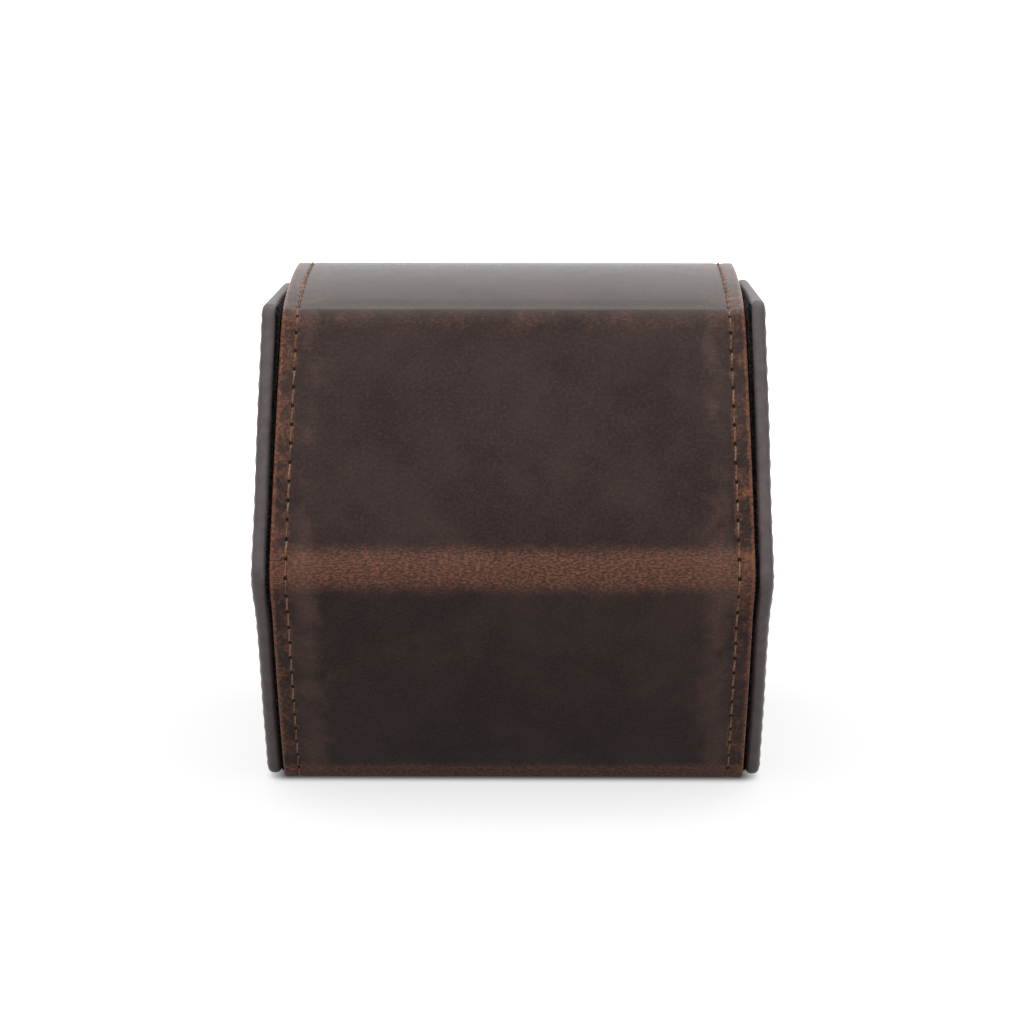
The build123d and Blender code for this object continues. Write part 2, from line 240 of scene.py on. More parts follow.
# The flap's round corners: where they start along and across it, and the radius of the seam in them
corner_start = flap_end - FLAP_CORNER
corner_side = lid_half - FLAP_CORNER
seam_turn = FLAP_CORNER - SEAM_INSET
seam_end = corner_start + seam_turn * math.pi / 2 + corner_side

# Half width of the strip along its length: widest at the ridge, narrower over the top
WIDTH_STATIONS = [
    (wall_start, tray_half - 0.1),
    (front_base_fold, tray_half - 0.1),
    (back_base_fold, tray_half - 0.3),
    (back_ridge - 8, tray_half),
    (back_ridge, tray_half + 0.27),
    (top_back_fold, lid_half - 0.2),
    (top_front_fold, lid_half - 0.1),
    (front_ridge, lid_half - 0.1),
    (flap_end, lid_half),
]


def half_width(s):
    """Half width of the wrap, with the flap's round corners at its free end."""
    stations = np.array(WIDTH_STATIONS)
    plain = np.interp(s, stations[:, 0], stations[:, 1])
    into = np.clip(s - corner_start, 0, FLAP_CORNER)
    return plain - (FLAP_CORNER - np.sqrt(FLAP_CORNER ** 2 - into ** 2))


# Boards: the leather stands a little proud over each of them but the base's
FOLD_TO_BOARD = 5.5
BOARD_LIFT = 0.09
BOARD_SOFTNESS = 2.6
RAISED_SPANS = [
    (back_base_fold, back_ridge),
    (back_ridge, top_back_fold),
    (top_back_fold, top_front_fold),
    (top_front_fold, front_ridge),
]
BASE_SPAN = (front_base_fold, back_base_fold)


def board_cover(x, s, softness, spans):
    """1 over a board, 0 beside it, for the boards in some spans of the strip, the wall's and the flap's."""
    side = half_width(s) - BOARD_SIDE_MARGIN - np.abs(x)
    inside = [np.minimum(s - first, last - s) - FOLD_TO_BOARD for first, last in spans]
    inside.append(np.minimum(s - wall_start - LEATHER - 1, front_base_fold - s - FOLD_TO_BOARD))
    cover = smooth(np.minimum(side, np.max(inside, axis=0)), -softness, softness)
    flap = np.minimum(s - front_ridge - FOLD_TO_BOARD, edge_distance(x, s) - BOARD_SIDE_MARGIN)
    return np.maximum(cover, smooth(flap, -softness, softness) * (s > front_ridge))


def edge_distance(x, s):
    """Distance in from the strip's side edges, or from the flap's round free end."""
    into_x, into_s = np.abs(x) - corner_side, s - corner_start
    on_flap = FLAP_CORNER - np.hypot(np.maximum(into_x, 0), np.maximum(into_s, 0))
    return np.where(into_s > 0, on_flap, half_width(s) - np.abs(x))


def seam_coordinates(x, s):
    """Distance across the seam and length along it, on the strip and round the flap's free end."""
    into_x, into_s = np.abs(x) - corner_side, s - corner_start
    angle = np.arctan2(np.maximum(into_s, 0), np.maximum(into_x, 1e-6))
    round_end = np.where(into_x < 0, seam_turn * math.pi / 2 - into_x, seam_turn * angle)
    distance = edge_distance(x, s)
    inner = (into_s > 0) & (distance > 2 * SEAM_INSET)
    across = np.where(inner, SEAM_INSET, distance - SEAM_INSET)
    return across, np.where(into_s > 0, corner_start + round_end, s)


def swell_noise(points):
    """Soft noise from -1 to 1 at a set of points."""
    found = [noise.noise(Vector(p) + SWELL_SHIFT) for p in points.reshape(-1, 3)]
    return np.array(found).reshape(points.shape[:-1])


def drawn_out(grid, shape):
    """A coarse grid of values drawn out to a finer one, straight between its values."""
    for axis in (0, 1):
        places = np.linspace(0, grid.shape[axis] - 1, shape[axis])
        low = places.astype(int)
        high = np.minimum(low + 1, grid.shape[axis] - 1)
        share = (places - low).reshape((-1, 1) if axis == 0 else (1, -1))
        grid = np.take(grid, low, axis) * (1 - share) + np.take(grid, high, axis) * share
    return grid


def make_mesh(name, vertices, faces, attributes=(), sharp_angle=50):
    """Object from vertices in millimetres, with smooth faces and named point attributes."""
    mesh = bpy.data.meshes.new(name)
    mesh.from_pydata((np.asarray(vertices) * MM).tolist(), [], faces)
    mesh.polygons.foreach_set("use_smooth", [True] * len(mesh.polygons))
    for key, values in dict(attributes).items():
        layer = mesh.attributes.new(key, "FLOAT_VECTOR", "POINT")
        layer.data.foreach_set("vector", np.asarray(values, np.float32).ravel())
    mesh.validate()
    mesh.update()
    mesh.set_sharp_from_angle(angle=math.radians(sharp_angle))
    made = bpy.data.objects.new(name, mesh)
    bpy.context.scene.collection.objects.link(made)
    return made


def ring_faces(rings, count, start=0, closed=False):
    """Quads between rings of count points that follow each other, from point start on."""
    faces = []
    for r in range(rings if closed else rings - 1):
        a, b = start + r * count, start + (r + 1) % rings * count
        faces += [(a + q, a + (q + 1) % count, b + (q + 1) % count, b + q) for q in range(count)]
    return faces


def capped_faces(rings, count, start=0):
    """Quads between rings, and one face over the first and one over the last ring."""
    first = range(start, start + count)
    last = range(start + (rings - 1) * count, start + rings * count)
    return ring_faces(rings, count, start) + [tuple(first)[::-1], tuple(last)]


def rings_round(line, radius, first, second, sides):
    """Rings of points round a line, in the plane of two directions at each of its points."""
    turn = np.linspace(0, 2 * math.pi, sides, endpoint=False)[None, :, None]
    return line[:, None] + radius * (np.cos(turn) * first[:, None] + np.sin(turn) * second[:, None])


def give(made, *materials):
    for one in materials:
        made.data.materials.append(one)
    return made


# Columns across the strip: fine at the edges and the seams, even in the middle
SEAM_STEPS = np.array([0.0, 0.08, 0.2, 0.4, 0.8, 1.3, 1.8, 2.1, 2.3, 2.5,
                       2.7, 2.9, 3.1, 3.3, 3.6, 4.2, 4.9, 5.6, 6.4])
MIDDLE_COLUMNS = 56


def column_places(half):
    """x of each column at rows of a half width."""
    middle = half - SEAM_STEPS[-1]
    centre = np.linspace(-1, 1, MIDDLE_COLUMNS)[1:-1]
    left = -half[:, None] + SEAM_STEPS[None, :]
    right = half[:, None] - SEAM_STEPS[None, ::-1]
    return np.concatenate([left, middle[:, None] * centre[None, :], right], 1)


def ribbon(name, chain, rows, half, outer, inner, rules=(), step=4):
    """Closed strip with an outer and an inner surface, each at its own depth under the chain.

    Its points carry their place in the flat, and what each other rule gives."""
    x = column_places(half)
    count, columns = x.shape
    s = np.repeat(rows[:, None], columns, 1)
    picks = list(range(0, columns - 1, step)) + [columns - 1]
    sheets = [(x, s, 0.0, outer), (x[:, picks], s[:, picks], LEATHER, inner)]
    points, flat = [], []
    for across, along, depth, sink in sheets:
        yz, normals = chain.at(along)
        yz = yz - normals * sink(across, along)[..., None]
        points.append(np.concatenate([across[..., None], yz], -1).reshape(-1, 3))
        flat.append(np.stack([across, along, np.full(across.shape, depth)], -1).reshape(-1, 3))
    attributes = {"flat": np.concatenate(flat)}
    for key, rule in dict(rules).items():
        attributes[key] = np.concatenate([rule(*sheet[:2]).reshape(-1, 3) for sheet in sheets])
    base, width = len(points[0]), len(picks)
    faces = []
    for r in range(count - 1):
        a = r * columns
        faces += [(a + c, a + columns + c, a + columns + c + 1, a + c + 1) for c in range(columns - 1)]
        b = base + r * width
        faces += [(b + k, b + k + 1, b + width + k + 1, b + width + k) for k in range(width - 1)]
        faces.append((a, b, b + width, a + columns))
        faces.append((a + columns - 1, a + 2 * columns - 1, b + 2 * width - 1, b + width - 1))
    for r, flip in ((0, False), (count - 1, True)):
        a, b = r * columns, base + r * width
        for k, (first, last) in enumerate(zip(picks, picks[1:])):
            cap = [a + c for c in range(first, last + 1)] + [b + k + 1, b + k]
            faces.append(tuple(cap[::-1] if flip else cap))
    return make_mesh(name, np.concatenate(points), faces, attributes)


def row_places(first, last, step=STITCH_PITCH / 10):
    count = max(2, round((last - first) / step))
    return np.linspace(first, last, count + 1)


# Relief of the leather's outer face, in millimetres
EDGE_ROUND = 0.4
GROOVE_DEPTH = 0.16
GROOVE_WIDTH = 0.55
PIT_DEPTH = 0.3
PIT_WIDTH = 0.3
HOLE_LENGTH = 0.74
HOLE_WIDTH = 0.5
WAVE_HEIGHT = 0.07
BOARD_UNEVEN = 0.25
SWELL_SCALE = 0.05
SWELL_SHIFT = Vector((51.9, 15.3, 29.1))
SWELL_ROWS = 8
SWELL_COLUMNS = 6


def leather_outer(x, s):
    """Depth of the outer face: proud over the boards, pressed in at the seam, round at its edges."""
    off = np.clip(edge_distance(x, s), 0, EDGE_ROUND)
    rounding = EDGE_ROUND - np.sqrt(np.maximum(EDGE_ROUND ** 2 - (EDGE_ROUND - off) ** 2, 0))
    across, along = seam_coordinates(x, s)
    groove = GROOVE_DEPTH * bell(across, GROOVE_WIDTH)
    to_hole = (along / STITCH_PITCH - np.round(along / STITCH_PITCH)) * STITCH_PITCH
    pit = PIT_DEPTH * bell(np.hypot(across, to_hole), PIT_WIDTH)
    places = np.stack([x, s, np.zeros_like(x)], -1) * SWELL_SCALE
    wave = drawn_out(swell_noise(places[::SWELL_ROWS, ::SWELL_COLUMNS]), x.shape)
    lift = BOARD_LIFT * board_cover(x, s, BOARD_SOFTNESS, RAISED_SPANS) * (wave * BOARD_UNEVEN + 1)
    return rounding + groove + pit - lift + WAVE_HEIGHT * (wave + 1) / 2 * (s < flap_end)


def leather_inner(x, s):
    return np.full(x.shape, LEATHER)


def seam_attribute(x, s):
    return np.stack([*seam_coordinates(x, s), np.ones_like(x)], -1)


# Folds where the wax is rubbed off, the two base folds also lightened as painted light from the floor: place of
# the band, strength and half width
FOLD_WEAR_AND_PAINTED_FLOOR_LIGHT = [
    (back_ridge + 1.5, 1.0, 3.9),
    (top_back_fold - 1.4, 0.33, 2.8),
    (top_front_fold + 1.8, 0.50, 2.8),
    (front_ridge - 1.0, 0.95, 3.9),
    # Base folds: rubbed wear, made stronger as painted light from the floor
    (back_base_fold + 1.1, 1.7, 2.3),
    (front_base_fold - 1.1, 1.4, 2.3),
    (wall_start, 0.8, 1.6),
]
FOLD_SHAPE = 2.2
# Stripes rubbed along the sides: distance in from the edge, strength and half width
WORN_STRIPES = [(0.0, 0.95, 0.8), (SEAM_INSET, 0.68, 0.7)]
RIM_RUB = 0.45
RIM_FADE = (2.0, 3.6)
# The dry margin beside the boards: stronger near the folds and on the lower back face
MARGIN_CENTRE = 5.6
MARGIN_WIDTH = 3.4
MARGIN_FAR = 0.72
MARGIN_REACH = 9.0
MARGIN_LOW = 1.3
MARGIN_LID = 0.75
MARGIN_CHANGE = (-6, 8)


def wear_attribute(x, s):
    """Where the wax is rubbed off: at folds, along the edges and seam, and over the boards' side edges. The base
    folds' bands are also made stronger as painted floor light.
    """
    fold = np.zeros_like(x)
    for crest, strength, width in FOLD_WEAR_AND_PAINTED_FLOOR_LIGHT:
        fold = np.maximum(fold, strength * np.exp(-np.abs((s - crest) / width) ** FOLD_SHAPE))
    distance = edge_distance(x, s)
    edge = RIM_RUB * (1 - smooth(distance, *RIM_FADE))
    for place, strength, width in WORN_STRIPES:
        edge = np.maximum(edge, strength * bell(distance - place, width))
    to_fold = np.min([np.abs(s - crest) for crest, _, _ in FOLD_WEAR_AND_PAINTED_FLOOR_LIGHT], axis=0)
    margin = bell(distance - MARGIN_CENTRE, MARGIN_WIDTH)
    margin = margin * (MARGIN_FAR + (1 - MARGIN_FAR) * bell(to_fold, MARGIN_REACH))
    on_lid = smooth(s - back_ridge, *MARGIN_CHANGE) * (s < front_ridge)
    margin = margin * (MARGIN_LOW + (MARGIN_LID - MARGIN_LOW) * on_lid)
    return np.stack([fold, edge, margin], -1)


# Strips of leather, each across one fold: name, chain, first and last s, bodies, fold and replaced nodes
middle_upper_back = (back_ridge + top_back_fold) / 2
middle_top = (top_back_fold + top_front_fold) / 2
middle_upper_front = (top_front_fold + front_ridge) / 2
STRIPS = [
    ("back_wrap", tray_chain, wall_start, middle_upper_back, ("tray", "lid_back"), back_ridge,
     ("tray", "upper_back")),
    ("top_back_wrap", lid_chain, middle_upper_back, middle_top, ("lid_back", "lid_top"), top_back_fold,
     ("upper_back", "top")),
    ("top_front_wrap", lid_chain, middle_top, middle_upper_front, ("lid_top", "lid_front"), top_front_fold,
     ("top", "upper_front")),
    ("flap_wrap", lid_chain, middle_upper_front, flap_end, ("lid_front", "flap"), front_ridge,
     ("upper_front", "flap")),
]
BLEND_TILT = {"back_wrap": 0.15}


def bend_at(made, strip_name, chain, crest):
    """Bakes a piece's transform into its mesh. It works out a direction along the strip at the fold's crest, but
    bends nothing.
    """
    point, normal = chain.at(np.array([crest]))
    along = np.array([normal[0][1], -normal[0][0]])
    along = unit(along + normal[0] * BLEND_TILT.get(strip_name, 0.0))
    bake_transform(made)


class Graph:
    """A short way to write the nodes of a material or a world."""

    def __init__(self, owner):
        self.owner = owner
        owner.use_nodes = True
        self.tree = owner.node_tree
        self.tree.nodes.clear()

    def node(self, kind, inputs=(), **settings):
        made = self.tree.nodes.new(kind)
        for key, value in settings.items():
            setattr(made, key, value)
        for key, value in dict(inputs).items():
            self.put(made.inputs[key], value)
        return made

    def put(self, socket, value):
        if isinstance(value, bpy.types.NodeSocket):
            self.tree.links.new(value, socket)
        else:
            socket.default_value = value

    def math(self, operation, *values):
        return self.node("ShaderNodeMath", dict(enumerate(values)), operation=operation).outputs[0]

    def vector_math(self, operation, *values):
        return self.node("ShaderNodeVectorMath", dict(enumerate(values)), operation=operation).outputs

    def times(self, first, second):
        return self.math("MULTIPLY", first, second)

    def plus(self, first, second):
        return self.math("ADD", first, second)

    def rest(self, value):
        """1 less a value."""
        return self.math("SUBTRACT", 1.0, value)

    def weighted(self, *terms):
        """Sum of values, each times its weight."""
        total = self.times(*terms[0])
        for value, weight in terms[1:]:
            total = self.math("MULTIPLY_ADD", value, weight, total)
        return total

    def step(self, value, low, high):
        made = self.node("ShaderNodeMapRange", {0: value, 1: low, 2: high}, interpolation_type="SMOOTHSTEP")
        return made.outputs[0]

    def mix(self, factor, first, second, blend="MIX"):
        made = self.node("ShaderNodeMix", data_type="RGBA", blend_type=blend)
        self.put(made.inputs[0], factor)
        self.put(made.inputs[6], first)
        self.put(made.inputs[7], second)
        return made.outputs[2]

    def stretch(self, vector, scale, turn=0.0):
        made = self.node("ShaderNodeMapping", {"Vector": vector, "Scale": scale, "Rotation": (0, 0, turn)})
        return made.outputs[0]

    def noise(self, vector, scale, detail=3.0, roughness=0.55, distortion=0.0):
        made = self.node("ShaderNodeTexNoise", {"Vector": vector, "Scale": scale, "Detail": detail,
                                                "Roughness": roughness, "Distortion": distortion})
        return made.outputs[0]

    def cells(self, vector, scale):
        return self.node("ShaderNodeTexVoronoi", {"Vector": vector, "Scale": scale}).outputs["Distance"]

    def attribute(self, name):
        made = self.node("ShaderNodeAttribute", attribute_name=name, attribute_type="GEOMETRY")
        return made.outputs["Vector"]

    def split(self, vector):
        return self.node("ShaderNodeSeparateXYZ", {0: vector}).outputs

    def bump(self, height, distance, strength):
        made = self.node("ShaderNodeBump", {"Height": height, "Distance": distance, "Strength": strength})
        return made.outputs[0]

    def direct(self):
        """1 for camera, glossy and transmission rays, else 0."""
        rays = self.node("ShaderNodeLightPath").outputs
        seen = self.math("MAXIMUM", rays["Is Camera Ray"], rays["Is Glossy Ray"])
        return self.math("MAXIMUM", seen, rays["Is Transmission Ray"])

    def output(self, kind, shader):
        self.node(f"ShaderNodeOutput{kind}", {0: shader.outputs[0]})
        return self.owner

    def finish(self, inputs):
        return self.output("Material", self.node("ShaderNodeBsdfPrincipled", inputs))


def material(name):
    return Graph(bpy.data.materials.new(name))


def object_mm(graph):
    """Object coordinates in millimetres."""
    coordinates = graph.node("ShaderNodeTexCoord").outputs["Object"]
    return graph.stretch(coordinates, (1000, 1000, 1000))


WAXED = (0.035, 0.0210, 0.0186, 1)
WAXED_LIGHT = (0.066, 0.0416, 0.0372, 1)
BURNISHED = (0.050, 0.026, 0.018, 1)
HAZE = (0.088, 0.064, 0.057, 1)
RUBBED = (0.330, 0.138, 0.088, 1)
RUBBED_TAN = (0.400, 0.155, 0.078, 1)
STAIN = (0.130, 0.058, 0.038, 1)
DUST = (0.2, 0.17, 0.15, 1)
# Near-black painted shade for the insides of the stitch holes
PAINTED_HOLE_SHADE = (0.003, 0.0022, 0.002, 1)


def leather(name):
    """Dark waxed pull-up leather, rubbed red brown at folds and tan at edges, creased where it is bent. The stitch
    holes are painted near black as painted shade, and the base-fold bands are also lightened as painted floor
    light.
    """
    g = material(name)
    flat = g.attribute("flat")
    fold, edge, margin = g.split(g.attribute("wear"))[:3]
    cut = g.step(g.split(flat)[2], 0.1, 0.5)
    across, along, seamed = g.split(g.attribute("seam"))[:3]

    cloud = g.noise(flat, 0.05, 4.0, 0.6)
    patch = g.noise(flat, 0.17, 5.0, 0.65, 0.5)
    blot = g.noise(flat, 0.42, 4.0, 0.7)
    speck = g.noise(flat, 1.8, 3.0, 0.75)
    crease = g.noise(g.stretch(flat, (0.75, 1.6, 1.0), 0.05), 1.9, 3.0, 0.75, 0.3)
    pore = g.noise(flat, 3.6, 2.0, 0.6)
    dust = g.cells(flat, 0.42)

    # Body: soft clouds, fine mottle, and a dry haze beside the boards
    tone = g.weighted((cloud, 0.45), (patch, 0.2), (speck, 0.35))
    body = g.mix(g.step(tone, 0.39, 0.61), WAXED, WAXED_LIGHT)
    fine = g.times(g.step(speck, 0.5, 0.8), 0.5)
    body = g.mix(fine, body, HAZE)
    haze = g.step(g.weighted((margin, 0.45), (fold, 0.12), (patch, 0.75), (speck, 0.2)), 0.62, 1.05)
    body = g.mix(g.times(haze, 0.7), body, HAZE)
    stain = g.times(g.step(g.weighted((patch, 0.5), (blot, 0.5)), 0.5, 0.72), g.step(speck, 0.42, 0.66))
    body = g.mix(g.times(stain, 0.3), body, STAIN)

    # Rubbed colour: broken bands, with dark creases through them; at the base folds the band is partly painted
    # floor light
    open_grain = g.step(crease, 0.42, 0.62)
    band = g.step(g.weighted((fold, 0.85), (patch, 0.5), (blot, 0.4), (crease, 0.3)), 0.72, 1.42)
    band = g.times(band, g.plus(g.times(open_grain, 0.82), 0.18))
    rim = g.step(g.weighted((edge, 0.6), (patch, 0.5), (blot, 0.7)), 0.80, 1.1)
    rim = g.times(rim, g.plus(g.times(g.step(speck, 0.38, 0.62), 0.8), 0.2))
    side = g.step(g.weighted((margin, 0.42), (patch, 0.8), (blot, 0.45)), 0.76, 1.3)
    side = g.times(side, g.plus(g.times(open_grain, 0.75), 0.2))
    mote = g.rest(g.step(dust, 0.02, 0.05))
    colour = body
    for where, share, tint in ((side, 0.42, RUBBED), (band, 0.95, RUBBED), (rim, 0.78, RUBBED_TAN),
                               (cut, 0.85, BURNISHED), (mote, 0.2, DUST)):
        colour = g.mix(g.times(where, share), colour, tint)

    # Holes of the stitches: a near-black oval at each whole pitch along the seam, painted shade inside the holes
    turns = g.times(along, 1 / STITCH_PITCH)
    from_hole = g.times(g.math("SUBTRACT", turns, g.math("ROUND", turns)), STITCH_PITCH)
    from_hole = g.times(from_hole, HOLE_WIDTH / HOLE_LENGTH)
    distance = g.math("SQRT", g.plus(g.times(from_hole, from_hole), g.times(across, across)))
    open_hole = g.rest(g.step(distance, HOLE_WIDTH * 0.4, HOLE_WIDTH * 0.75))
    hole = g.times(open_hole, seamed)
    press = g.times(g.rest(g.step(g.math("ABSOLUTE", across), 0.1, 0.4)), seamed)
    colour = g.mix(g.times(press, 0.35), colour, WAXED)
    colour = g.mix(hole, colour, PAINTED_HOLE_SHADE)

    bent = g.plus(g.times(fold, 0.92), 0.08)
    creased = g.times(g.step(crease, 0.34, 0.62), bent)
    height = g.weighted((creased, 0.9), (speck, 0.3), (pore, 0.25))
    height = g.math("SUBTRACT", height, g.times(hole, 1.5))
    normal = g.bump(height, 0.00008, 0.7)
    rough = g.weighted((patch, 0.1), (band, 0.14), (speck, 0.08))
    rough = g.plus(rough, 0.13)
    return g.finish({"Base Color": colour, "Roughness": rough, "Normal": normal, "Specular IOR Level": 0.103,
                     "Specular Tint": (1.0, 0.93, 0.89, 1), "Sheen Weight": 0.11, "Sheen Roughness": 0.25,
                     "Sheen Tint": (1.0, 0.72, 0.58, 1)})


def painted_edge():
    """Smooth edge paint of the end panels: purplish brown, a little uneven."""
    g = material("edge_paint")
    where = object_mm(g)
    cloud = g.step(g.noise(where, 0.5, 3.0), 0.35, 0.65)
    colour = g.mix(cloud, (0.112, 0.088, 0.088, 1), (0.142, 0.113, 0.112, 1))
    colour = g.mix(g.step(g.noise(where, 3.0, 2.0), 0.62, 0.8), colour, (0.19, 0.155, 0.155, 1))
    height = g.plus(g.noise(where, 0.7, 2.0), g.times(g.noise(where, 3.5, 2.0), 0.2))
    return g.finish({"Base Color": colour, "Roughness": 0.42, "Normal": g.bump(height, 0.0001, 0.6),
                     "Specular IOR Level": 0.3})


def velvet(name, dark, light):
    """Short black pile: uneven lie, soft sheen at the turns."""
    g = material(name)
    where = object_mm(g)
    lie = g.noise(where, 0.12, 3.0, 0.6, 0.8)
    pile = g.noise(where, 5.0, 2.0, 0.8)
    tuft = g.cells(where, 3.6)
    colour = g.mix(g.step(g.weighted((lie, 0.6), (pile, 0.4)), 0.35, 0.7), dark, light)
    height = g.plus(pile, g.times(tuft, 0.8))
    return g.finish({"Base Color": colour, "Roughness": 0.95, "Normal": g.bump(height, 0.0002, 0.8),
                     "Specular IOR Level": 0.05, "Sheen Weight": 0.35, "Sheen Roughness": 0.35,
                     "Sheen Tint": (0.55, 0.53, 0.56, 1)})


def thread():
    """Waxed brown thread of two plies."""
    g = material("thread")
    where = object_mm(g)
    cloud = g.step(g.noise(where, 0.35, 3.0), 0.35, 0.65)
    colour = g.mix(cloud, (0.15, 0.072, 0.042, 1), (0.38, 0.22, 0.14, 1))
    fibre = g.noise(where, 9.0, 2.0, 0.7)
    return g.finish({"Base Color": colour, "Roughness": 0.6, "Normal": g.bump(fibre, 0.00005, 0.8),
                     "Specular IOR Level": 0.3, "Sheen Weight": 0.15, "Sheen Roughness": 0.4})


def grey_board():
    g = material("grey_board")
    where = object_mm(g)
    pulp = g.noise(where, 1.2, 5.0, 0.7)
    fleck = g.cells(where, 0.9)
    colour = g.mix(g.step(pulp, 0.35, 0.65), (0.26, 0.235, 0.2, 1), (0.36, 0.33, 0.28, 1))
    colour = g.mix(g.rest(g.step(fleck, 0.05, 0.12)), colour, (0.12, 0.1, 0.09, 1))
    return g.finish({"Base Color": colour, "Roughness": 0.9, "Normal": g.bump(pulp, 0.0001, 0.5)})


def nickel():
    g = material("nickel")
    where = object_mm(g)
    haze = g.noise(where, 1.5, 4.0, 0.7)
    rough = g.plus(g.times(haze, 0.18), 0.2)
    colour = g.mix(haze, (0.52, 0.51, 0.5, 1), (0.66, 0.65, 0.63, 1))
    return g.finish({"Base Color": colour, "Roughness": rough, "Metallic": 1.0,
                     "Normal": g.bump(g.noise(where, 6.0, 2.0), 0.00002, 0.4)})


wrap_leather = leather("waxed_leather")
edge_paint = painted_edge()
black_velvet = velvet("black_velvet", (0.0035, 0.0033, 0.0036, 1), (0.011, 0.0105, 0.0115, 1))
pillow_velvet = velvet("pillow_velvet", (0.010, 0.0095, 0.010, 1), (0.026, 0.025, 0.027, 1))
brown_thread = thread()
board_grey = grey_board()
magnet_nickel = nickel()

# Leather strips
for strip_name, chain, first, last, bodies, crest, nodes in STRIPS:
    rows = row_places(first, last)
    skin = ribbon(strip_name, chain, rows, half_width(rows), leather_outer, leather_inner,
                  {"seam": seam_attribute, "wear": wear_attribute})
    give(skin, wrap_leather)
    bend_at(skin, strip_name, chain, crest)
    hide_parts(*[f"{node}_leather" for node in nodes])


# Velvet inside the strips: thin at folds and side margins, over the boards elsewhere
LINING_INSET = 0.25
LINING_ROW = 1.1
BOARD_STEP = 0.3
CLOTH_STEP = 1.1


def lining_depth(x, s, softness):
    """Depth under the leather's outer face: below any board, also the base's."""
    board = np.where(s > front_ridge, FLAP_BOARD, BOARD)
    return LEATHER + board * board_cover(x, s, softness, [*RAISED_SPANS, BASE_SPAN])


def lining_outer(x, s):
    return lining_depth(x, s, BOARD_STEP)


def lining_inner(x, s):
    return lining_depth(x, s, CLOTH_STEP) + np.where(s > front_ridge, FLAP_LINING, LINING)


for strip_name, chain, first, last, bodies, crest, nodes in STRIPS:
    start = first + LEATHER if strip_name == "back_wrap" else first
    end = last - LINING_INSET if strip_name == "flap_wrap" else last
    rows = row_places(start, end, LINING_ROW)
    cloth = ribbon(strip_name.replace("wrap", "lining"), chain, rows, half_width(rows) - LINING_INSET,
                   lining_outer, lining_inner, step=1)
    give(cloth, black_velvet)
    bend_at(cloth, strip_name, chain, crest)
    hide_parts(*[f"{node}_lining" for node in nodes])


# Stitches: two plies twisted, from hole to hole
PLY_RADIUS = 0.11
PLY_OFFSET = 0.085
PLY_TURNS = 2.0
PLY_SIDES = 6
PLY_STATIONS = 11
THREAD_RISE = 0.12
THREAD_SINK = 0.45
THREAD_SLANT = 0.08
THREAD_ARCH = 0.35
HOLE_MARGIN = 0.16
BASE_SINK = 0.22


def thread_mesh(name, stitches):
    """Mesh of stitches, each given by its points, normals and side directions from hole to hole."""
    vertices, faces = [], []
    for points, normals, sides in stitches:
        t = np.linspace(0, 1, len(points))
        arch = np.clip(np.sin(math.pi * t), 0, 1) ** THREAD_ARCH
        rise = -THREAD_SINK + (THREAD_SINK + THREAD_RISE) * arch
        slant = (t - 0.5) * 2 * THREAD_SLANT
        line = points + normals * rise[:, None] + sides * slant[:, None]
        phase = rng.uniform(0, 2 * math.pi)
        for ply in range(2):
            swing = phase + math.pi * ply + t * PLY_TURNS * 2 * math.pi
            centre = line + PLY_OFFSET * (np.cos(swing)[:, None] * sides + np.sin(swing)[:, None] * normals)
            faces += capped_faces(len(points), PLY_SIDES, len(vertices) * PLY_SIDES)
            vertices += list(rings_round(centre, PLY_RADIUS, sides, normals, PLY_SIDES))
    return make_mesh(name, np.concatenate(vertices), faces)


def sideways(points, normals):
    """Directions across a line of points on a surface."""
    return np.cross(unit(np.gradient(points, axis=0)), normals)


def strip_stitch(chain, x_at, s_at):
    """One stitch on a strip, from its places in the flat."""
    flat_points, normals = chain.at(s_at)
    points = np.concatenate([x_at[:, None], flat_points], 1)
    normals = np.concatenate([np.zeros((len(x_at), 1)), normals], 1)
    on_base = (s_at > front_base_fold - BASE_FOLD_RADIUS) & (s_at < back_base_fold + BASE_FOLD_RADIUS / 2)
    sunk = GROOVE_DEPTH + np.where(on_base.all(), BASE_SINK, 0.0)
    return points - normals * sunk, normals, sideways(points, normals)


def seam_path(along, side):
    """Place (x, s) on the flat at a length along the seam, round the flap's free end."""
    past = along - corner_start
    angle = np.clip(past / seam_turn, 0, math.pi / 2)
    straight = half_width(np.minimum(along, corner_start)) - SEAM_INSET
    end = corner_side + seam_turn * np.cos(angle) - np.maximum(past - seam_turn * math.pi / 2, 0)
    s = np.where(past > 0, corner_start + seam_turn * np.sin(angle), along)
    return side * np.where(past > 0, end, straight), s


def strip_stitches(chain, first, last):
    made = []
    low, high = math.ceil(first / STITCH_PITCH - 1e-6), math.floor(last / STITCH_PITCH + 1e-6)
    for side in (-1, 1):
        for number in range(low, high):
            start, end = number * STITCH_PITCH + HOLE_MARGIN, (number + 1) * STITCH_PITCH - HOLE_MARGIN
            along = np.linspace(start, end, PLY_STATIONS)
            made.append(strip_stitch(chain, *seam_path(along, side)))
    return made


for strip_name, chain, first, last, bodies, crest, nodes in STRIPS:
    start = math.ceil(first / STITCH_PITCH) * STITCH_PITCH
    if strip_name == "back_wrap":
        start += STITCH_PITCH
    end = math.ceil((seam_end if strip_name == "flap_wrap" else last) / STITCH_PITCH) * STITCH_PITCH
    run = thread_mesh(strip_name.replace("wrap", "stitches"), strip_stitches(chain, start, end))
    give(run, brown_thread)
    bend_at(run, strip_name, chain, crest)
    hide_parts(*[f"{node}_stitches" for node in nodes])

# End panels: corners of the hexagon, clockwise from the base at the back
RIGHT_PANEL_RISE = 0.7


